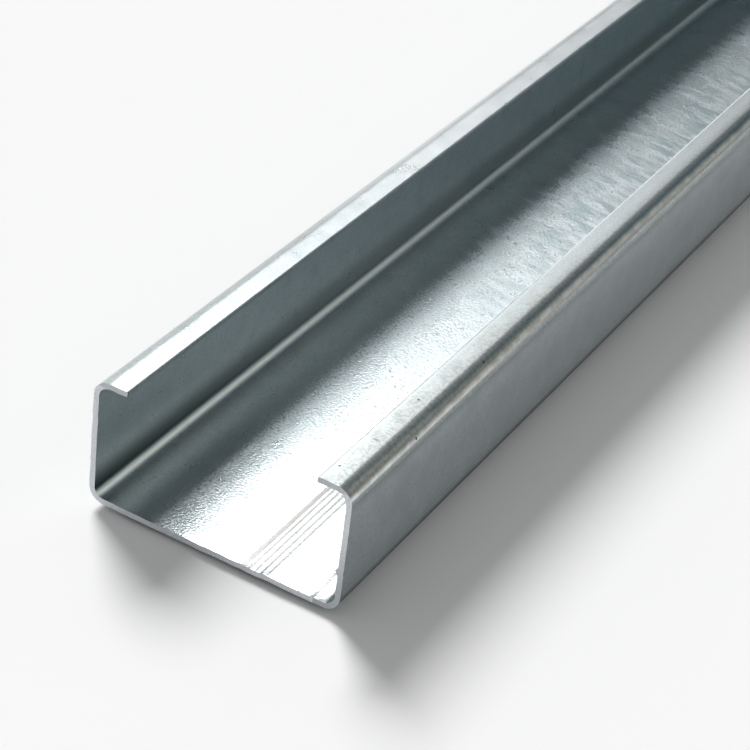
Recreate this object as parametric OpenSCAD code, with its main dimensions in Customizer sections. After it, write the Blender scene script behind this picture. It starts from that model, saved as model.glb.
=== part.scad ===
// C purlin: one galvanised steel strip, roll formed into a lipped channel.
//
// The purlin lies on its web with the flanges up and the lips turned in over the channel.
// X runs across the web, +Y along the length and +Z up; all lengths are millimetres.
// The origin is on the floor, under the middle of the web, halfway along the length.

/* [Purlin] */
// Length between the two cut ends
length = 3000; // [600:100:9000]
// Depth of the section, over the outer faces of the two flanges
section_depth = 150; // [120:5:300]
// Width of a flange, from the outer face of the web to the top of the lip
flange_width = 75; // [50:5:100]
// Reach of a lip, from the outer face of its flange to its slit edge
lip_reach = 20; // [14:1:30]

/* [Strip] */
// Thickness of the strip that the purlin is rolled from
strip_thickness = 3.2; // [2.3:0.1:4]
// Inside radius of the four bends
bend_radius = 6.5; // [3:0.5:9]
// Rounding of the corners of the two slit edges
edge_rounding = 0.8; // [0.2:0.1:1]

/* [Roll marks] */
// Number of fine grooves that the forming rolls press into the inner face of the web
mark_count = 5; // [0:1:7]
// Distance of the first groove from the middle of the web
first_mark = 19.5; // [5:0.5:24]
// Spacing from one groove to the next
mark_pitch = 3.3; // [2:0.1:3.4]
// Width of a groove at the face of the web
mark_width = 1.2; // [0.6:0.1:1.6]
// Width of the first groove, which the edge of the roll presses in
first_mark_width = 2.4; // [1.2:0.1:3]
// Distance of the lone groove beside the bend from the outer face of the flange
lone_mark_inset = 15.5; // [14:0.5:20]
// Depth of the grooves
mark_depth = 0.1; // [0.1:0.05:0.4]

/* [Hidden] */

// Faces of an arc: enough for a smooth bend
$fn = 96;

// Overshoot of a cutting shape past the face it cuts through
cut_clearance = 1;

outer_bend_radius = bend_radius + strip_thickness;
// Half of the gap between the two lips
half_mouth = section_depth / 2 - lip_reach;
// Radius of a ridge on the roll: the arc that is mark_depth deep where it is this wide
function ridge_radius(width) = (width * width / 4 + mark_depth * mark_depth) / (2 * mark_depth);

zinc = [0.74, 0.77, 0.78];

// Rectangle with round corners, standing on the X axis and centred on the Y axis
module rounded_rectangle(width, height, radius) {
    translate([-width / 2, radius]) square([width, height - 2 * radius]);
    translate([radius - width / 2, 0]) square([width - 2 * radius, height]);
    for (side = [-1, 1], level = [radius, height - radius])
        translate([side * (width / 2 - radius), level]) circle(r = radius);
}

// The strip folded into a closed tube: what the four bends and the five flats are cut from
module folded_strip() {
    difference() {
        rounded_rectangle(section_depth, flange_width, outer_bend_radius);
        translate([0, strip_thickness])
            rounded_rectangle(section_depth - 2 * strip_thickness,
                              flange_width - 2 * strip_thickness, bend_radius);
    }
}

// The gap between the lips, wider by the rounding of their slit edges
module mouth() {
    half_width = half_mouth + edge_rounding;
    translate([-half_width, flange_width - strip_thickness - cut_clearance])
        square([2 * half_width, strip_thickness + 2 * cut_clearance]);
}

// The slit edge of the lip on the +X side, with its two corners rounded
module slit_edge() {
    translate([half_mouth, flange_width - strip_thickness]) {
        translate([0, edge_rounding])
            square([edge_rounding, strip_thickness - 2 * edge_rounding]);
        for (level = [edge_rounding, strip_thickness - edge_rounding])
            translate([edge_rounding, level]) circle(r = edge_rounding);
        translate([edge_rounding, 0]) square([edge_rounding, strip_thickness]);
    }
}

// One ridge of the forming roll, sunk into the inner face of the web
module roll_ridge(place, width) {
    translate([place, strip_thickness + ridge_radius(width) - mark_depth])
        circle(r = ridge_radius(width));
}

// All ridges of the roll: the group, with its wide first one, and the one beside the bend
module roll_ridges() {
    for (mark = [0 : 1 : mark_count - 1])
        roll_ridge(first_mark + mark * mark_pitch, mark == 0 ? first_mark_width : mark_width);
    roll_ridge(section_depth / 2 - lone_mark_inset, mark_width);
}

module purlin_section() {
    difference() {
        union() {
            difference() {
                folded_strip();
                mouth();
            }
            slit_edge();
            mirror([1, 0]) slit_edge();
        }
        roll_ridges();
    }
}

module c_purlin() {
    color(zinc)
        rotate([90, 0, 0])
            linear_extrude(height = length, center = true)
                purlin_section();
}

c_purlin();
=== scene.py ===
# %% [markdown]
# # A C purlin, roll formed from galvanised strip
#
# A purlin is the long steel rail that carries roof sheeting. This one is a single strip of galvanised
# steel, folded by rollers into a channel with two small lips. Everything about its look follows from
# that: flats and four smooth bends, the same section from end to end, a mottled zinc skin, and two ends
# where the shear went through and left bare grey steel.
#
# The frame holds the part at its real size. It is loaded first, and its box gives every place below.

import math

import bmesh
import bpy
from mathutils import Euler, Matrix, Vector, noise


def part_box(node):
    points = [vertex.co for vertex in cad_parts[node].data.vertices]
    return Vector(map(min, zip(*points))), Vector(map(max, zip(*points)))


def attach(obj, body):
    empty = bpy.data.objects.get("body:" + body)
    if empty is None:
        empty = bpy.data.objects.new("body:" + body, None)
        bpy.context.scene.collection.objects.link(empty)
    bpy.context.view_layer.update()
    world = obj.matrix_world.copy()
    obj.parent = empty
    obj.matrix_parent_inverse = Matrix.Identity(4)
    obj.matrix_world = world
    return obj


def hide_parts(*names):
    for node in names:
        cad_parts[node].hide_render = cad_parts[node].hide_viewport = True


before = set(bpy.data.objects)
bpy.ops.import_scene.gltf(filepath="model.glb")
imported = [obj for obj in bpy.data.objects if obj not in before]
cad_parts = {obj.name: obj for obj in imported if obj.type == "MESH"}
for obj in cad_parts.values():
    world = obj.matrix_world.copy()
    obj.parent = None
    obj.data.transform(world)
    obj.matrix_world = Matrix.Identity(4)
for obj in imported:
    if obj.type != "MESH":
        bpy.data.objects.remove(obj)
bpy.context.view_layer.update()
low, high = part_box("c_purlin")
print("purlin", [round(side, 4) for side in high - low], "m")

# %% [markdown]
# ## The sizes of the section
#
# The box gives the depth of the section, the width of the flanges and the length. The strip's own
# sizes can't be read from a box, so they are named here, in metres. A size with a name is changed in
# one place, and every later step follows.

# %% Name the sizes
STRIP = 0.0032
BEND_INSIDE = 0.0065
LIP_REACH = 0.020

DEPTH = high.x - low.x
FLANGE = high.z - low.z
LENGTH = high.y - low.y
BEND_OUTSIDE = BEND_INSIDE + STRIP
HALF_MOUTH = DEPTH / 2 - LIP_REACH
print(f"section {DEPTH:.3f} x {FLANGE:.3f} x {LIP_REACH:.3f} m, strip {STRIP * 1000:.1f} mm")

# %% [markdown]
# ## Folding the strip
#
# The rollers fold a flat strip along four lines. The model is folded the same way: six points joined by
# five edges stand for the outer face of the strip, seen from its end. A vertex bevel turns the four
# corners into arcs. It beats a chain of points worked out by hand, because the radius is one number.

# %% Fold the outer line of the strip
BEND_SEGMENTS = 14

strip = bmesh.new()
fold_points = [
    (-HALF_MOUTH, FLANGE), (-DEPTH / 2, FLANGE), (-DEPTH / 2, 0),
    (DEPTH / 2, 0), (DEPTH / 2, FLANGE), (HALF_MOUTH, FLANGE),
]
folds = [strip.verts.new((x, low.y, z)) for x, z in fold_points]
for start, end in zip(folds, folds[1:]):
    strip.edges.new((start, end))
bmesh.ops.bevel(
    strip, geom=folds[1:-1], offset=BEND_OUTSIDE, affect="VERTICES",
    segments=BEND_SEGMENTS, profile=0.5, material=-1,
)
print("outer line:", len(strip.verts), "points")

# %% [markdown]
# ## Drawing it out and giving it a thickness
#
# One extrusion carries the line along the whole length, and solidify adds the strip's thickness on the
# inside, so the inner bends come out concentric with the outer ones. A closed outline would do as well,
# but then every inner radius would have to be worked out again.

# %% Extrude the line and thicken it
drawn = bmesh.ops.extrude_edge_only(strip, edges=strip.edges[:])["geom"]
far_line = [part for part in drawn if isinstance(part, bmesh.types.BMVert)]
bmesh.ops.translate(strip, verts=far_line, vec=(0, LENGTH, 0))
bmesh.ops.recalc_face_normals(strip, faces=strip.faces[:])
bmesh.ops.solidify(strip, geom=strip.faces[:], thickness=STRIP)
print("closed strip:", len(strip.faces), "faces")

# %% [markdown]
# ## The slit edges
#
# The two long edges of the strip were slit from a wide coil, and the rollers took the sharpness off
# their corners. They are the only long edges at the tips of the lips, so a test on their place finds
# them without any counting, and a small bevel rounds them.

# %% Round the slit edges
EDGE_ROUNDING = 0.0008
EDGE_SEGMENTS = 4
CLOSE = 1e-5


def is_slit_corner(edge):
    """A long edge at the tip of a lip."""
    ends = [vertex.co for vertex in edge.verts]
    runs_along = abs(ends[0].y - ends[1].y) > LENGTH / 2
    return runs_along and all(abs(abs(end.x) - HALF_MOUTH) < CLOSE for end in ends)


slit_corners = [edge for edge in strip.edges if is_slit_corner(edge)]
bmesh.ops.bevel(
    strip, geom=slit_corners, offset=EDGE_ROUNDING, affect="EDGES",
    segments=EDGE_SEGMENTS, profile=0.5, material=-1,
)
print("slit corners rounded:", len(slit_corners))

# %% [markdown]
# ## Lines that hold the flats flat
#
# Smooth shading blends the light over an edge into the faces beside it. A narrow face on each side of a
# bend keeps that blend off the wide flats. A helper cuts the whole strip with a plane, which is easier
# to steer than a loop cut, because a plane is just a place and a direction.

# %% Cut the holding lines
HOLD = 0.0015


def cut(place, normal):
    """Cuts every face that the plane crosses."""
    everything = strip.verts[:] + strip.edges[:] + strip.faces[:]
    bmesh.ops.bisect_plane(strip, geom=everything, dist=1e-7, plane_co=place, plane_no=normal)


held_half = DEPTH / 2 - BEND_OUTSIDE - HOLD
held_low = BEND_OUTSIDE + HOLD
held_high = FLANGE - BEND_OUTSIDE - HOLD
for side in (-1, 1):
    cut((side * held_half, 0, 0), (1, 0, 0))
for height in (held_low, held_high):
    cut((0, 0, height), (0, 0, 1))
print("flats held from", round(held_low, 4), "to", round(held_high, 4), "m up")

# %% [markdown]
# ## Lines to flex by
#
# A flat of one face can't be pushed about. Even cuts across the web and up the flanges, close ones near
# the two ends and closer ones round the burr give the strip something to flex with, where the shear
# bent it. A few cuts along the whole length keep its faces from growing too long and thin.

# %% Cut the flexing lines
FLAT_PITCH = 0.0035
FLANGE_CUTS = 30
LENGTH_CUTS = 30
BURR_LEVEL = 0.0255
BURR_PITCH = 0.001
BURR_CUTS = 3
END_CUTS = [0.0004, 0.0012, 0.0025, 0.0045, 0.0075, 0.012, 0.018, 0.027, 0.04, 0.06]

web_cuts = int(2 * held_half / FLAT_PITCH)
for step in range(1, web_cuts):
    cut((-held_half + step * 2 * held_half / web_cuts, 0, 0), (1, 0, 0))
for step in range(1, FLANGE_CUTS):
    cut((0, 0, held_low + step * (held_high - held_low) / FLANGE_CUTS), (0, 0, 1))
for step in range(-BURR_CUTS, BURR_CUTS + 1):
    cut((0, 0, BURR_LEVEL + step * BURR_PITCH), (0, 0, 1))
for distance in END_CUTS:
    cut((0, low.y + distance, 0), (0, 1, 0))
    cut((0, high.y - distance, 0), (0, 1, 0))
for step in range(1, LENGTH_CUTS):
    cut((0, low.y + step * LENGTH / LENGTH_CUTS, 0), (0, 1, 0))
print("after the cuts:", len(strip.faces), "faces")

# %% [markdown]
# ## The roll marks
#
# Fine grooves run along the inside of the web, pressed in by ridges worn onto a forming roll: a group of
# five with a wide first one, and a lone one beside the bend. Each is a shallow arc. Five cuts mark its
# profile, and their points are moved down to the arc. Two more cuts beside it hold the flat. Bump could
# fake them, but a real groove also breaks the reflection at a low angle.

# %% Press in the roll marks
FIRST_MARK = 0.0195
MARK_PITCH = 0.0033
NARROW_MARKS = 4
MARK_WIDTH = 0.0012
WIDE_MARK = 0.0024
LONE_MARK = DEPTH / 2 - 0.0155
MARK_DEPTH = 0.00005
HELD_BESIDE = 0.65
ARC = {-0.5: 0.0, -0.25: 0.75, 0.0: 1.0, 0.25: 0.75, 0.5: 0.0}
ON_LINE = 1e-6

marks = [(FIRST_MARK, WIDE_MARK), (LONE_MARK, MARK_WIDTH)]
marks += [(FIRST_MARK + step * MARK_PITCH, MARK_WIDTH) for step in range(1, NARROW_MARKS + 1)]
for middle, width in marks:
    for beside in (-HELD_BESIDE, HELD_BESIDE):
        cut((middle + beside * width, 0, 0), (1, 0, 0))
    for offset, share in ARC.items():
        line = middle + offset * width
        cut((line, 0, 0), (1, 0, 0))
        on_line = [
            vertex for vertex in strip.verts
            if abs(vertex.co.x - line) < ON_LINE and abs(vertex.co.z - STRIP) < CLOSE
        ]
        bmesh.ops.translate(strip, verts=on_line, vec=(0, 0, -share * MARK_DEPTH))
print("roll marks:", len(marks))

# %% [markdown]
# ## What the shear did to the ends
#
# A guillotine bends the strip a little before it parts, so the web's edge wanders by a fraction of a
# millimetre, and its rim is rough. The flanges stand straight, but the blade left one small burr inside
# the right one. A slow noise moves the web's last few centimetres, a quick noise roughens the rim, and a
# narrow push makes the burr. Each dies away with the distance from the cut. Sculpting could look as
# good, but it would have to be done again after every change of size. The quick noise is drawn at
# random, so it starts from a seed, which makes the same rim in every run. Any whole number would do.

# %% Push the ends about
WANDER = 0.0007
WANDER_WAVES = 70
WANDER_REACH = 0.010
RIM_SEED = 1795367616
ROUGHNESS = 0.00022
ROUGH_WAVES = 300
ROUGH_REACH = 0.0012
ROUGH_ALONG = 0.4
BURR_HEIGHT = 0.0014
BURR_SPREAD = 0.0016
BURR_REACH = 0.001
BURR_OUTSIDE = 0.15

noise.seed_set(RIM_SEED)
moved = 0
for vertex in strip.verts:
    spot = vertex.co.copy()
    from_cut = min(spot.y - low.y, high.y - spot.y)
    if from_cut > END_CUTS[-1] - 1e-4:
        continue
    web_share = max(0.0, 1 - max(0.0, spot.z - STRIP) / BEND_OUTSIDE)
    slow = noise.noise(spot * WANDER_WAVES) * WANDER * web_share * math.exp(-from_cut / WANDER_REACH)
    quick = noise.noise_vector(spot * ROUGH_WAVES) * ROUGHNESS * math.exp(-from_cut / ROUGH_REACH)
    quick.y *= ROUGH_ALONG
    vertex.co += quick + Vector((0, 0, slow))
    if spot.x > DEPTH / 2 - STRIP - CLOSE and spot.y < 0:
        lift = math.exp(-((spot.z - BURR_LEVEL) / BURR_SPREAD) ** 2 - from_cut / BURR_REACH)
        share = 1.0 if spot.x < DEPTH / 2 - STRIP / 2 else BURR_OUTSIDE
        vertex.co.x -= BURR_HEIGHT * lift * share
    moved += 1
print("points moved at the ends:", moved)

# %% [markdown]
# ## From the bmesh to a piece
#
# Faces that look along the strip are the two cut ends, so they take the second material. Edges sharper
# than a bend's own small steps are marked sharp, which keeps the rim of the cut crisp while the bends
# stay smooth. The piece keeps its place in its mesh and its object at the origin. The imported part is
# hidden, and the piece hangs from the body that carries it.

# %% Make the piece
ZINC_SLOT = 0
STEEL_SLOT = 1
LOOKS_ALONG = 0.7
SHARP_ANGLE = 32

mesh = bpy.data.meshes.new("purlin")
strip.normal_update()
for face in strip.faces:
    face.smooth = True
    face.material_index = STEEL_SLOT if abs(face.normal.y) > LOOKS_ALONG else ZINC_SLOT
strip.to_mesh(mesh)
strip.free()
mesh.set_sharp_from_angle(angle=math.radians(SHARP_ANGLE))
purlin = bpy.data.objects.new("purlin", mesh)
bpy.context.scene.collection.objects.link(purlin)
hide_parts("c_purlin")
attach(purlin, "root")
print("piece:", len(mesh.polygons), "faces")

# %% [markdown]
# ## A small language for materials
#
# Shader maths is easier to read as an expression than as a list of nodes. A Signal wraps one output
# socket, and adding, multiplying or comparing Signals adds the Math nodes. A ramp is used throughout: it
# carries a range of one number to a range of another, which is how a place becomes a mask.

# %% Define signals
class Signal:
    """One output socket, usable in an expression."""

    def __init__(self, shader, socket):
        self.shader = shader
        self.socket = socket

    def maths(self, operation, first, second=None):
        """Adds a Math node for one or two values."""
        return self.shader.node("Math", {"operation": operation}, Value=first, Value_001=second)

    def __add__(self, other):
        return self.maths("ADD", self, other)

    def __radd__(self, other):
        return self.maths("ADD", other, self)

    def __sub__(self, other):
        return self.maths("SUBTRACT", self, other)

    def __rsub__(self, other):
        return self.maths("SUBTRACT", other, self)

    def __mul__(self, other):
        return self.maths("MULTIPLY", self, other)

    def __rmul__(self, other):
        return self.maths("MULTIPLY", other, self)

    def __gt__(self, other):
        return self.maths("GREATER_THAN", self, other)

    def __lt__(self, other):
        return self.maths("LESS_THAN", self, other)

    def size(self):
        """The number without its sign."""
        return self.maths("ABSOLUTE", self)

    def ramp(self, start, end, first=0.0, last=1.0):
        """Carries start..end to first..last on a smooth curve, held at both ends."""
        return self.shader.node("MapRange", {"interpolation_type": "SMOOTHSTEP"}, Value=self,
                                From_Min=start, From_Max=end, To_Min=first, To_Max=last)

    def other(self, name):
        """Another output of the same node."""
        return Signal(self.shader, live_socket(self.socket.node.outputs, name))


print("a Signal takes + - * < >")

# %% [markdown]
# A Shader wraps a node tree. Its method `node` adds any other node: the type, then the settings, because
# they decide which sockets are live, then the inputs by name. Colours go through `blend`, since a Math
# node would turn them grey.

# %% Define shaders
def live_socket(sockets, name=None):
    """The first live socket, or the first with this identifier or name, with _ for a space."""
    for socket in sockets:
        if socket.enabled and name in (None, socket.identifier, socket.name.replace(" ", "_")):
            return socket
    raise KeyError(name)


class Shader:
    """A node tree that is written as expressions."""

    def __init__(self, tree):
        self.tree = tree

    def feed(self, made, **inputs):
        """Links each Signal to its socket, and sets each plain value on its own."""
        for name, value in inputs.items():
            if isinstance(value, Signal):
                self.tree.links.new(value.socket, live_socket(made.inputs, name))
            elif value is not None:
                live_socket(made.inputs, name).default_value = value

    def node(self, kind, settings=None, out=None, **inputs):
        """Adds a node and gives one of its outputs."""
        made = self.tree.nodes.new("ShaderNode" + kind)
        for name, value in (settings or {}).items():
            setattr(made, name, value)
        self.feed(made, **inputs)
        return Signal(self, live_socket(made.outputs, out))

    def blend(self, factor, first, second):
        """Mixes two colours."""
        return self.node("Mix", {"data_type": "RGBA"}, Factor=factor, A=first, B=second)


def new_material(name):
    """A material, the Shader of its tree and its surface node."""
    made = bpy.data.materials.new(name)
    made.use_nodes = True
    return made, Shader(made.node_tree), made.node_tree.nodes["Principled BSDF"]


print("a Shader takes any node")

# %% [markdown]
# ## Zinc: where we are on the strip
#
# The finish changes from place to place: the web is wiped and pressed, the bends are rolled, the lips
# are scuffed. Object coordinates are metres on the part itself, so a mark that is put down by them stays
# on its spot from every side, and nothing has to be unwrapped. Three numbers are enough: the place
# across the strip, the distance from the near end, and the level above the underside.

# %% Start the zinc
SLACK = 0.001
WEB_TOP = STRIP + SLACK


def places_on(shader):
    """The place in metres as a vector, then across, from the near end, and up."""
    metres = shader.node("TexCoord", out="Object")
    across = shader.node("SeparateXYZ", out="X", Vector=metres)
    return metres, across, across.other("Y") - low.y, across.other("Z")


zinc, shader, skin = new_material("galvanised_zinc")
metres, across, from_end, level = places_on(shader)
on_web = level < WEB_TOP
print("zinc started:", len(shader.tree.nodes), "nodes")

# %% [markdown]
# ## Zinc: grain and clouds
#
# Hot-dip zinc freezes into fine crystals, the spangle. Each lies at its own slight tilt, so it catches
# the light alone where a reflection fades from light to dark, and vanishes where the light is even. One
# fine noise makes the crystals. It does most of its work as bump, further down, and tints the colour
# only a little, together with soft clouds where the coat is thicker.

# %% Mottle the zinc
GRAIN_SCALE = (600, 840, 600)
CLOUD_SCALE = 70.0
TONES = (0.40, 0.60)
ZINC_DARK = (0.48, 0.54, 0.56, 1)
ZINC_LIGHT = (0.57, 0.62, 0.65, 1)

fine = shader.node("Mapping", Vector=metres, Scale=GRAIN_SCALE)
grain = shader.node("TexNoise", Vector=fine, Scale=1.0, Detail=2.0)
cloud = shader.node("TexNoise", Vector=metres, Scale=CLOUD_SCALE, Detail=4.0, Roughness=0.6)
tone = 0.5 * grain + 0.5 * cloud
colour = shader.blend(tone.ramp(*TONES), ZINC_DARK, ZINC_LIGHT)
print("mottled:", len(shader.tree.nodes), "nodes")

# %% [markdown]
# ## Zinc: wiping streaks
#
# Air knives blow the spare zinc off the strip as it leaves the bath, and what stays lies in ripples
# across it, a little aslant. In the colour the troughs are grey, a painted shade, and the crests pale, a
# painted highlight: the ragged light and dark of the web's reflection, starting at the edge of the dark
# left strip and growing farther from the near end. One noise on turned and stretched coordinates gives
# both, its high part as troughs and its low part as crests, so the two hardly overlap.

# %% Wipe streaks across the web
STREAK_SIZE = (0.0220, 0.0075, 0.0100)
STREAK_SLANT = math.radians(-12)
STREAKS_ALONG = (0.15, 0.50)
STREAKS_ACROSS = (-0.046, -0.024)
TROUGHS = (0.42, 0.64)
CRESTS = (0.36, 0.48, 1.0, 0.0)
TROUGH_STRENGTH = 0.80
CREST_STRENGTH = 0.30
TROUGH_SHADE_GREY = (0.25, 0.33, 0.35, 1)
CREST_HIGHLIGHT_WHITE = (0.80, 0.91, 0.96, 1)

slanted = shader.node("Mapping", {"vector_type": "TEXTURE"}, Vector=metres,
                      Rotation=(0, 0, STREAK_SLANT), Scale=STREAK_SIZE)
wiped = shader.node("TexNoise", Vector=slanted, Scale=1.0, Detail=2.0)
far = from_end.ramp(*STREAKS_ALONG)
streaky = on_web * far * across.ramp(*STREAKS_ACROSS)
trough = wiped.ramp(*TROUGHS) * streaky
crest_highlight = wiped.ramp(*CRESTS) * streaky
# Painted shade in the troughs and painted highlight on the crests.
colour = shader.blend(TROUGH_STRENGTH * trough, colour, TROUGH_SHADE_GREY)
colour = shader.blend(CREST_STRENGTH * crest_highlight, colour, CREST_HIGHLIGHT_WHITE)
print("streaks grow from", STREAKS_ALONG[0], "to", STREAKS_ALONG[1], "m from the near end")

# %% [markdown]
# ## Zinc: the ironed strip beside the left bend, and a painted sheen past it
#
# The roll that folded the left bend also pressed the web beside it, so the grain is flatter there. Just
# past that strip a pale bluish sheen is painted into the colour: a painted highlight that carries the
# bright reflection of the web further towards the left flange, faint near the end and stronger farther
# on. The grain and the streaks push its border about, so it never runs straight.

# %% Iron the web beside the left bend and paint a sheen past it
IRONED = (-0.042, -0.032, 1.0, 0.0)
RAGGED_BY_STREAKS = 0.046
RAGGED_BY_GRAIN = 0.024
PAINTED_SHEEN_BEGINS = (-0.038, -0.031)
PAINTED_SHEEN_ENDS = (-0.028, -0.013, 1.0, 0.0)
PAINTED_SHEEN_ALONG = (0.04, 0.13, 0.10, 0.60)
PAINTED_SHEEN_WHITE = (0.80, 0.91, 0.96, 1)

ironed = across.ramp(*IRONED)
ragged = across + RAGGED_BY_STREAKS * far * (0.5 - wiped) + RAGGED_BY_GRAIN * (grain - 0.5)
# A painted highlight: pale colour where the web's reflection turns from dark to bright.
painted_sheen = on_web * ragged.ramp(*PAINTED_SHEEN_BEGINS) * ragged.ramp(*PAINTED_SHEEN_ENDS) * from_end.ramp(*PAINTED_SHEEN_ALONG)
colour = shader.blend(painted_sheen, colour, PAINTED_SHEEN_WHITE)
print("ironed up to", IRONED[1], "m across")

# %% [markdown]
# ## Zinc: painted glints in the grain, and painted shade near the left flange
#
# Just outside the ironed strip, where the reflection turns from dark to bright, the crystals are drawn
# in the colour, some as pale painted glints and some as dark painted shade. Bump alone makes them look
# like hammered tin there. Inside the strip, near the end, a soft dark band of painted shade lies on the
# web near the left flange.

# %% Paint glints into the grain and shade near the left flange
GLINTS_BEGIN = (-0.042, -0.031)
GLINTS_END = (-0.016, 0.002, 1.0, 0.0)
CRYSTAL_GLINTS = (0.48, 0.60, 0.0, 0.26)
CRYSTAL_SHADES = (0.40, 0.52, 0.20, 0.0)
GLINT_WHITE = (0.95, 1.0, 1.0, 1)
CRYSTAL_SHADE_GREY = (0.12, 0.16, 0.19, 1)
FLANGE_SHADE_BEGINS = (-0.056, -0.045)
FLANGE_SHADE_ENDS = (-0.037, -0.031, 1.0, 0.0)
FLANGE_SHADE_ALONG = (0.05, 0.20, 0.55, 0.0)
FLANGE_SHADE_GREY = (0.10, 0.13, 0.14, 1)

# Painted glints and painted shade: pale and dark crystals drawn where the reflection turns.
glinting_grain = on_web * across.ramp(*GLINTS_BEGIN) * across.ramp(*GLINTS_END)
colour = shader.blend(glinting_grain * grain.ramp(*CRYSTAL_GLINTS), colour, GLINT_WHITE)
colour = shader.blend(glinting_grain * grain.ramp(*CRYSTAL_SHADES), colour, CRYSTAL_SHADE_GREY)
# Painted shade: a soft dark band on the web near the left flange, close to the end.
flange_shade = on_web * across.ramp(*FLANGE_SHADE_BEGINS) * across.ramp(*FLANGE_SHADE_ENDS) * from_end.ramp(*FLANGE_SHADE_ALONG)
colour = shader.blend(flange_shade, colour, FLANGE_SHADE_GREY)
print("with open grain:", len(shader.tree.nodes), "nodes")

# %% [markdown]
# ## Zinc: the floors of the roll marks
#
# The ridges that pressed the roll marks also rubbed the zinc off their floors, so each mark is a dull
# grey line, a little narrower than its groove. The same list that cut the grooves draws the lines, so
# they can't drift apart.

# %% Rub the floors of the roll marks
RUB_FROM, RUB_TO = 0.3, 0.8
WIDE_RUB = 0.88
NARROW_RUB = 0.74
MARK_GREY = (0.20, 0.19, 0.18, 1)

rubbed = 0.0
for middle, width in marks:
    beside = (across - middle).size()
    strength = WIDE_RUB if width == WIDE_MARK else NARROW_RUB
    rubbed = beside.ramp(RUB_FROM * width, RUB_TO * width, strength, 0.0) + rubbed
rubbed = rubbed * on_web
colour = shader.blend(rubbed, colour, MARK_GREY)
print("marks rubbed:", len(marks))

# %% [markdown]
# ## Zinc: pinholes
#
# Dross, the dirt of the bath, leaves a few dark pinholes. A Voronoi pattern gives one point to each
# cell, and the cell's random colour decides whether it has a pinhole. One cell in eight has, and more on
# the right lip, where a guide scuffed the strip. A noise would give blots of every size instead.

# %% Add the pinholes
CELLS = 190.0
PINHOLE = (0.05, 0.11, 1.0, 0.0)
PINHOLE_SHARE = 0.12
EXTRA_ON_LIP = 0.30
PINHOLE_STRENGTH = 0.75
PINHOLE_GREY = (0.20, 0.21, 0.21, 1)
LIP_FADE = (HALF_MOUTH - 0.001, HALF_MOUTH + 0.004)

scuffed = across.ramp(*LIP_FADE) * (level > FLANGE - BEND_OUTSIDE)
cell = shader.node("TexVoronoi", {"feature": "F1"}, Vector=metres, Scale=CELLS)
lot = shader.node("SeparateColor", Color=cell.other("Color"))
pinhole = cell.ramp(*PINHOLE) * (lot < PINHOLE_SHARE + EXTRA_ON_LIP * scuffed)
colour = shader.blend(PINHOLE_STRENGTH * pinhole, colour, PINHOLE_GREY)
print("pinholes in", PINHOLE_SHARE, "of the cells")

# %% [markdown]
# ## Zinc: flecks
#
# Softer than the pinholes are small dark flecks, which gather where the clouds are dense. They are
# strongest on the open part of the web. Two noises multiplied keep them in groups.

# %% Add the flecks
SPECKLE_SCALE = 430.0
FLECKS = (0.57, 0.70)
FLECKY_CLOUDS = (0.46, 0.58)
FLECK_STRENGTH = 0.28
EXTRA_ON_WEB = 0.34
FLECK_GREY = (0.22, 0.23, 0.23, 1)

speckle = shader.node("TexNoise", Vector=metres, Scale=SPECKLE_SCALE, Detail=1.0)
fleck = speckle.ramp(*FLECKS) * cloud.ramp(*FLECKY_CLOUDS)
fleck_strength = FLECK_STRENGTH + EXTRA_ON_WEB * on_web * (1 - ironed)
colour = shader.blend(fleck * fleck_strength, colour, FLECK_GREY)
print("with flecks:", len(shader.tree.nodes), "nodes")

# %% [markdown]
# ## Zinc: a painted highlight on the left bend, and painted shade above it
#
# A pale line along the left inside bend is a painted highlight, which fades along the strip. Just above
# it the inside of the flange is darkened with painted shade, the shade of the corner. The line follows
# the middle of the bend, which lies where the way in from the flange equals the way up from the web.

# %% Paint a highlight on the left bend and shade on its flange
LEFT_FACE = -DEPTH / 2
INNER_FACE = LEFT_FACE + STRIP
BEHIND, BEFORE = 0.0010, 0.0025
BEND_HIGHLIGHT = (0.0010, 0.0046, 1.0, 0.0)
BEND_HIGHLIGHT_ALONG = (0.05, 0.60, 0.95, 0.05)
BEND_HIGHLIGHT_WHITE = (0.88, 0.93, 0.92, 1)
CORNER_SHADE_BEGINS = 0.0062
CORNER_SHADE_ENDS = (0.0100, 0.0260, 1.0, 0.0)
CORNER_SHADE_ALONG = (0.0, 0.30, 0.95, 0.55)
CORNER_SHADE_BLACK = (0.03, 0.05, 0.05, 1)

in_bend = (across < LEFT_FACE + BEND_OUTSIDE) * (level < BEND_OUTSIDE)
painted_highlight = in_bend * (level - across + LEFT_FACE).size().ramp(*BEND_HIGHLIGHT)
# A painted highlight along the left inside bend.
colour = shader.blend(painted_highlight * from_end.ramp(*BEND_HIGHLIGHT_ALONG), colour, BEND_HIGHLIGHT_WHITE)
on_face = (across < INNER_FACE + BEFORE) * (across > INNER_FACE - BEHIND)
# Painted shade on the inside of the flange, just above the left bend.
corner_shade = on_face * (level > CORNER_SHADE_BEGINS) * level.ramp(*CORNER_SHADE_ENDS) * (1 - painted_highlight)
colour = shader.blend(corner_shade * from_end.ramp(*CORNER_SHADE_ALONG), colour, CORNER_SHADE_BLACK)
print("polished bend within", BEND_HIGHLIGHT[1], "m of its middle")

# %% [markdown]
# ## Zinc: painted shade at the foot of the right flange
#
# The outside of the right flange is darkened at its foot, where it meets the floor, and less and less
# upwards: painted shade. Two ramps do it: a narrow strong one and a wide faint one. Further down the
# strong one also takes away the metallic shine and roughens the surface.

# %% Shade the foot of the right flange
RIGHT_FACE = DEPTH / 2 - 0.0025
FOOT_SHADE = (0.0050, 0.0145, 0.98, 0.0)
FAINT_FOOT_SHADE = (0.0060, 0.0250, 0.20, 0.0)
FOOT_SHADE_BLACK = (0.04, 0.05, 0.04, 1)

outer_face = across > RIGHT_FACE
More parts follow.
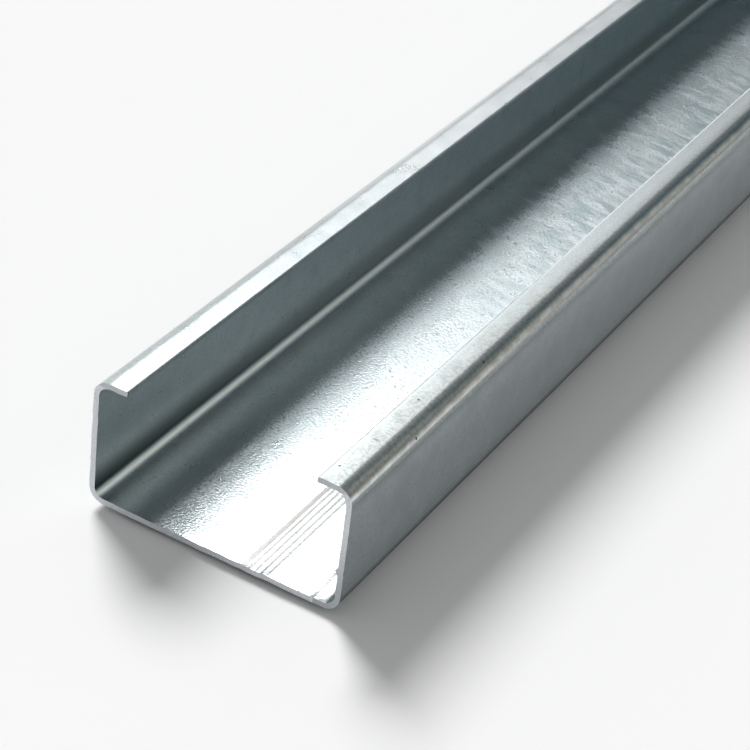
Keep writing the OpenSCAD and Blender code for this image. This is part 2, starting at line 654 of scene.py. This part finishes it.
# Painted shade: darker towards the foot of the right flange's outside.
painted_foot_shade = outer_face * level.ramp(*FOOT_SHADE)
colour = shader.blend(outer_face * level.ramp(*FAINT_FOOT_SHADE), colour, FOOT_SHADE_BLACK)
colour = shader.blend(painted_foot_shade, colour, FOOT_SHADE_BLACK)
print("painted_shade_foot up to", FOOT_SHADE[1], "m")

# %% [markdown]
# ## Zinc: the scuffed right lip
#
# The right lip and its bend slid along a guide, which wore the zinc grey and uneven: more near this end
# than farther on. Where the lip turns over into the flange the same grey is laid on more strongly as
# painted shade, which dims the bright start of the bend. Wear and shade are one mask, and its colour is
# mottled by the same grain as the rest, so the scuffed part still looks like zinc.

# %% Scuff the right lip
WEAR = 0.44
CLOUDY_WEAR = 0.28
WEAR_CLOUDS = (0.40, 0.60)
WEAR_ALONG = (0.0, 0.36, 1.45, 0.55)
TURN_SHADE = (0.0600, 0.0660)
TURN_SHADE_STRENGTH = 0.48
MOTTLE = (0.44, 0.56)
SCUFF_DARK = (0.29, 0.32, 0.32, 1)
SCUFF_LIGHT = (0.37, 0.40, 0.40, 1)

scuff_and_turn_shade = WEAR + CLOUDY_WEAR * cloud.ramp(*WEAR_CLOUDS)
# Painted shade is added where the lip turns over into the flange.
scuff_and_turn_shade = scuff_and_turn_shade * from_end.ramp(*WEAR_ALONG) + TURN_SHADE_STRENGTH * across.ramp(*TURN_SHADE)
mottle = (0.5 * grain + 0.5 * speckle).ramp(*MOTTLE)
scuff = shader.blend(mottle, SCUFF_DARK, SCUFF_LIGHT)
colour = shader.blend(scuffed * scuff_and_turn_shade, colour, scuff)
print("scuffed from", round(LIP_FADE[0], 3), "m across")

# %% [markdown]
# ## Zinc: a painted highlight line on the outer bend, and painted shade below it
#
# One bright line is painted along the outer bend, a painted highlight, which climbs a little along the
# strip. A dark band of painted shade lies just below it. A level that depends on the distance from the
# end is all it takes to make the line climb.

# %% Paint a highlight line along the outer bend
ON_OUTER_BEND = 0.070
LINE_LEVEL = (-0.02, 0.34, 0.0697, 0.0722)
LINE_WIDTH = (0.0003, 0.0020, 1.0, 0.0)
OUTER_HIGHLIGHT_STRENGTH = 0.42
CLOUDY_LINE = 0.30
LINE_CLOUDS = (0.42, 0.58)
OUTER_HIGHLIGHT_WHITE = (0.93, 0.96, 0.96, 1)
SHADE_BAND_BEGINS = (0.0590, 0.0668)
SHADE_BAND_ENDS = (0.0680, 0.0694, 1.0, 0.0)
SHADE_BAND_STRENGTH = 0.40
SHADE_BAND_GREY = (0.12, 0.14, 0.15, 1)

outer_bend = across > ON_OUTER_BEND
# line is a painted highlight along the outer bend.
line = outer_bend * (level - from_end.ramp(*LINE_LEVEL)).size().ramp(*LINE_WIDTH)
outer_highlight_strength = OUTER_HIGHLIGHT_STRENGTH + CLOUDY_LINE * cloud.ramp(*LINE_CLOUDS)
colour = shader.blend(line * outer_highlight_strength, colour, OUTER_HIGHLIGHT_WHITE)
# Painted shade in a band just below the highlight line.
painted_band_shade = outer_bend * level.ramp(*SHADE_BAND_BEGINS) * level.ramp(*SHADE_BAND_ENDS)
colour = shader.blend(SHADE_BAND_STRENGTH * painted_band_shade, colour, SHADE_BAND_GREY)
print("line climbs from", LINE_LEVEL[2], "to", LINE_LEVEL[3], "m")

# %% [markdown]
# ## Zinc: specks and one smudge
#
# A few black specks sit on the scuffed lip, and one short smudge lies across it. They are single marks,
# so each gets its own place: the mask is 1 at a point and falls to 0 a millimetre or so away. Squeezing
# space along the strip before measuring turns a round speck into a smudge.

# %% Put down the specks
SPECK_SIZE = 0.0009
BIG_SPECK_SIZE = 0.0011
SMUDGE_SIZE = 0.0022
SMUDGE_SQUEEZE = (1, 2.5, 1)
SMUDGE_STRENGTH = 0.6
SPECK_STRENGTH = 0.9
SPECK_BLACK = (0.05, 0.05, 0.05, 1)


def speck(x, distance, z, size, squeeze=(1, 1, 1)):
    """1 at one point of the surface, falling to 0 at size from it."""
    spot = (x, low.y + distance, z)
    away = shader.node("VectorMath", {"operation": "SUBTRACT"}, Vector=metres, Vector_001=spot)
    away = shader.node("Mapping", Vector=away, Scale=squeeze)
    length = shader.node("VectorMath", {"operation": "LENGTH"}, Vector=away)
    return length.ramp(0.5 * size, size, 1.0, 0.0)


specks = speck(0.0737, 0.0633, 0.0701, BIG_SPECK_SIZE)
for x, distance, z in ((0.0610, 0.0868, 0.075), (0.0586, 0.0140, 0.075), (0.0699, 0.1400, 0.0738)):
    specks = specks + speck(x, distance, z, SPECK_SIZE)
specks = specks + SMUDGE_STRENGTH * speck(0.0613, 0.0436, 0.075, SMUDGE_SIZE, SMUDGE_SQUEEZE)
colour = shader.blend(SPECK_STRENGTH * specks, colour, SPECK_BLACK)
print("with specks:", len(shader.tree.nodes), "nodes")

# %% [markdown]
# ## Zinc: painted highlights on the lips' edges, and painted shade beside the slit edge
#
# The top of the left lip is lightened as a painted highlight, more farther from the end. The right lip's
# slit edge is duller than the zinc, and its near-white colour is a painted highlight; a thin grey line
# of painted shade lies beside it near the end. Both edges are found by their place again.

# %% Paint highlights and shade on the lips' edges
LEFT_TIP = -HALF_MOUTH + 0.002
LIP_TOP = FLANGE - STRIP + SLACK
LIP_UNDERSIDE = FLANGE - STRIP - SLACK
RIGHT_HALF = 0.01
LIP_HIGHLIGHT_ALONG = (0.12, 0.36, 0.0, 0.65)
LIP_HIGHLIGHT_WHITE = (0.85, 0.90, 0.93, 1)
SLIT_WIDTH = 0.0009
SLIT_HIGHLIGHT_WHITE = (0.94, 0.96, 0.97, 1)
SHADE_LINE_WIDTH = 0.0007
SHADE_LINE_ALONG = (0.18, 0.30, 1.0, 0.0)
SHADE_LINE_STRENGTH = 0.90
SLIT_SHADE_GREY = (0.22, 0.22, 0.22, 1)

left_lip = (across < LEFT_TIP) * (level > LIP_TOP)
# A painted highlight on the top of the left lip.
colour = shader.blend(left_lip * from_end.ramp(*LIP_HIGHLIGHT_ALONG), colour, LIP_HIGHLIGHT_WHITE)
# The slit edge: less metallic further down, and a painted highlight in the colour.
slit = (across > RIGHT_HALF) * (across < HALF_MOUTH + SLIT_WIDTH) * (level > LIP_UNDERSIDE)
colour = shader.blend(slit, colour, SLIT_HIGHLIGHT_WHITE)
# Painted shade: a thin grey line along the slit edge, near the end.
slit_shade_line = slit * (across < HALF_MOUTH + SHADE_LINE_WIDTH) * from_end.ramp(*SHADE_LINE_ALONG)
colour = shader.blend(SHADE_LINE_STRENGTH * slit_shade_line, colour, SLIT_SHADE_GREY)
print("colour done:", len(shader.tree.nodes), "nodes")

# %% [markdown]
# ## Zinc: gloss and relief
#
# Zinc is a metal, so its colour tints its reflections and its roughness sets how sharp they are. The
# painted shade at the foot of the right flange is no metal and rougher, and the slit edge is less
# metallic. Everything that marks the surface also changes its roughness a little, or it would look
# painted on. Last comes the bump: the crystals' relief, which the rolls flattened in the bend, in the
# marks, on the ironed strip and on the lip.

# %% Finish the zinc
SMOOTHEST = 0.24
DULL_CLOUD, DULL_TROUGH, DULL_PINHOLE = 0.10, 0.06, 0.15
DULL_WEAR, ROUGH_FOOT_SHADE, SMOOTH_BEND = 0.08, 0.55, 0.06
UNMETALLIC_SLIT = 0.8
FLAT_BEND, FLAT_MARKS, FLAT_IRONED, FLAT_LIP = 0.60, 0.8, 0.55, 0.50
TROUGH_RISE = 0.25
BEND_FADE = 0.003
RELIEF = 0.00018

rolled = across.ramp(DEPTH / 2 - BEND_OUTSIDE, DEPTH / 2 - BEND_OUTSIDE + BEND_FADE)
roughness = SMOOTHEST + DULL_CLOUD * cloud + DULL_TROUGH * trough + DULL_PINHOLE * pinhole
roughness = roughness + DULL_WEAR * (scuffed + painted_highlight) + ROUGH_FOOT_SHADE * painted_foot_shade - SMOOTH_BEND * rolled
relief = grain * (1 - FLAT_BEND * rolled) * (1 - FLAT_MARKS * rubbed) * (1 - FLAT_IRONED * ironed)
relief = relief * (1 - FLAT_LIP * scuffed * (1 - rolled)) + TROUGH_RISE * trough
bump = shader.node("Bump", Strength=1.0, Distance=RELIEF, Height=relief)
metallic = 1 - UNMETALLIC_SLIT * slit - painted_foot_shade
shader.feed(skin, Base_Color=colour, Metallic=metallic, Roughness=roughness, Normal=bump)
print("zinc:", len(shader.tree.nodes), "nodes")

# %% [markdown]
# ## The sheared steel
#
# The cut shows the steel under the zinc: paler and duller, with fine lines through the thickness where
# the blade dragged. Its colour is darker towards the foot of the right flange, a painted shade, and
# darker on the lips. A stretched noise gives the lines, in the colour and in a very shallow bump.

# %% Make the cut steel
DRAG_SCALE = (900, 300, 900)
STEEL_DARK = (0.68, 0.71, 0.74, 1)
STEEL_LIGHT = (0.80, 0.83, 0.86, 1)
DARKER_BEYOND = 0.06
FOOT_DARKENING = (0.010, 0.052, 0.55, 0.0)
DARKER_LIPS = 0.35
DARK_STEEL_GREY = (0.28, 0.30, 0.31, 1)
DRAG_TONES = (0.3, 0.7)
DRAG_RELIEF = 0.00003

cut_steel, shader, skin = new_material("sheared_steel")
metres, across, from_end, level = places_on(shader)
dragged = shader.node("Mapping", Vector=metres, Scale=DRAG_SCALE)
drag = shader.node("TexNoise", Vector=dragged, Scale=1.0, Detail=2.0)
colour = shader.blend(drag.ramp(*DRAG_TONES), STEEL_DARK, STEEL_LIGHT)
# Painted shade: the right flange's cut end darkens towards its foot, and the lips' ends are darker too.
darker_steel = (across > DARKER_BEYOND) * level.ramp(*FOOT_DARKENING) + DARKER_LIPS * (level > FLANGE - STRIP)
colour = shader.blend(darker_steel, colour, DARK_STEEL_GREY)
bump = shader.node("Bump", Strength=1.0, Distance=DRAG_RELIEF, Height=drag)
shader.feed(skin, Base_Color=colour, Metallic=0.4, Roughness=0.62, Normal=bump)
for material in (zinc, cut_steel):
    mesh.materials.append(material)
print("materials:", [material.name for material in mesh.materials])

# %% [markdown]
# ## The floor
#
# A plain pale floor shows the shadow and nothing else. It has no gloss of its own, and it lies a hair
# below the purlin, as if the strip rested on its few high spots, which leaves a thin dark line under the
# near edge of the web.

# %% Lay the floor
FLOOR_SIZE = 15
FLOOR_GAP = 0.0025
FLOOR_WHITE = (0.93, 0.93, 0.93, 1)

floor_shape = bmesh.new()
bmesh.ops.create_grid(floor_shape, x_segments=1, y_segments=1, size=FLOOR_SIZE)
bmesh.ops.translate(floor_shape, verts=floor_shape.verts[:], vec=(0, 0, low.z - FLOOR_GAP))
floor_mesh = bpy.data.meshes.new("floor")
floor_shape.to_mesh(floor_mesh)
floor_shape.free()
floor = bpy.data.objects.new("floor", floor_mesh)
bpy.context.scene.collection.objects.link(floor)
paper, shader, skin = new_material("pale_floor")
shader.feed(skin, Base_Color=FLOOR_WHITE, Roughness=0.9, Specular_IOR_Level=0.0)
floor_mesh.materials.append(paper)
print("floor", round((low.z - FLOOR_GAP) * 1000, 1), "mm from the ground line")

# %% [markdown]
# ## The lamps
#
# Two soft lamps hang behind and to the left. One is left out of reflections: it lights the floor and the
# cut ends, and casts the shadow. The other shows only in reflections, as the bright part of the web. A
# single lamp would tie the two together, and bright metal needs a weaker lamp than paper does. Both stay
# at a plain level, so that the colours come out as they are written.

# %% Hang the lamps
def direction(azimuth, elevation):
    """The way to a point of the sky; azimuth is from +Y towards +X."""
    a = math.radians(azimuth)
    e = math.radians(elevation)
    return Vector((math.sin(a) * math.cos(e), math.cos(a) * math.cos(e), math.sin(e)))


def add_sun(name, azimuth, elevation, strength, spread):
    """A round soft source, very far off."""
    lamp = bpy.data.lights.new(name, "SUN")
    lamp.energy = strength
    lamp.angle = math.radians(spread)
    held = bpy.data.objects.new(name, lamp)
    held.rotation_euler = direction(azimuth, elevation).to_track_quat("Z", "Y").to_euler()
    bpy.context.scene.collection.objects.link(held)
    print(name, "strength", strength, "spread", spread, "degrees")
    return held


floor_key = add_sun("floor_key", azimuth=-51, elevation=41.5, strength=3.1, spread=22)
floor_key.visible_glossy = False
metal_key = add_sun("metal_key", azimuth=-34, elevation=50.5, strength=1.22, spread=24)
metal_key.visible_diffuse = False
metal_key.data.color = (1.0, 0.99, 0.97)
bpy.context.scene.view_settings.view_transform = "Standard"

# %% [markdown]
# ## The sky
#
# Polished metal shows little of itself and much of the room, so the room is half of the finish. It is an
# even grey, with a dark side that the walls of the channel mirror, and a few soft panels and one gap,
# each of which turns into a line along a bend. A panel is a patch round one direction with a soft edge,
# so two angles move it and two more set its size.

# %% Light the sky
SKY = (0.34, 0.34, 0.34, 1)
DARK_SIDE = (0.008, 0.065, 0.080, 1)
SIDE_WINDOW = (1.25, 1.25, 1.15, 1)
HIGH_PANEL = (0.62, 0.63, 0.63, 1)
HORIZON = (0.43, 0.40, 0.36, 1)
BRIGHT_SIDE = (1.0, 1.0, 0.95, 1)
DARK_GAP = (0.18, 0.20, 0.23, 1)
EAVE = (30, 46)


def sine(angle):
    """The sine of an angle in degrees."""
    return math.sin(math.radians(angle))


def patch_of_sky(azimuth, elevation, inner, outer):
    """1 within inner degrees of a point of the sky, falling to 0 at outer degrees."""
    nearness = shader.node("VectorMath", {"operation": "DOT_PRODUCT"}, Vector=ray,
                           Vector_001=direction(azimuth, elevation))
    return nearness.ramp(sine(90 - outer), sine(90 - inner))


world = bpy.data.worlds.new("studio")
bpy.context.scene.world = world
world.use_nodes = True
shader = Shader(world.node_tree)
ray = shader.node("TexCoord", out="Generated")
height = shader.node("SeparateXYZ", out="Z", Vector=ray)
under_eave = height.ramp(sine(EAVE[0]), sine(EAVE[1]), 1.0, 0.0)
sky = shader.blend(under_eave * patch_of_sky(22, 18, inner=22, outer=40), SKY, DARK_SIDE)
sky = shader.blend(patch_of_sky(44, 36, inner=7, outer=13), sky, SIDE_WINDOW)
sky = shader.blend(patch_of_sky(4, 47, inner=4, outer=10), sky, HIGH_PANEL)
sky = shader.blend(patch_of_sky(40, 9, inner=12, outer=20), sky, HORIZON)
sky = shader.blend(patch_of_sky(-50, 14, inner=8, outer=20), sky, BRIGHT_SIDE)
sky = shader.blend(patch_of_sky(3, 32, inner=5, outer=12), sky, DARK_GAP)
shader.feed(world.node_tree.nodes["Background"], Color=sky)
print("sky:", len(shader.tree.nodes), "nodes")

# %% [markdown]
# ## The camera
#
# A long lens from a little over a metre looks down into the channel from its near right corner, held a
# few degrees off level. It is placed by the point it aims at, its direction and its distance, which are
# easier to adjust one at a time than a position and three angles.

# %% Set the camera
LENS = 111.7
SENSOR = 36
AZIMUTH, ELEVATION, ROLL = 26.2, 33.8, 7.5
AIM = Vector((0.008, low.y + 0.142, FLANGE / 2))
DISTANCE = 1.246
NEAREST, FARTHEST = 0.01, 100

camera_data = bpy.data.cameras.new("camera")
camera_data.lens = LENS
camera_data.sensor_width = SENSOR
camera_data.clip_start = NEAREST
camera_data.clip_end = FARTHEST
camera = bpy.data.objects.new("camera", camera_data)
backwards = direction(180 - AZIMUTH, ELEVATION)
camera.location = AIM + DISTANCE * backwards
facing = backwards.to_track_quat("Z", "Y").to_matrix()
camera.rotation_euler = (facing @ Euler((0, 0, math.radians(ROLL))).to_matrix()).to_euler()
bpy.context.scene.collection.objects.link(camera)
bpy.context.scene.camera = camera
print("camera at", [round(value, 3) for value in camera.location])
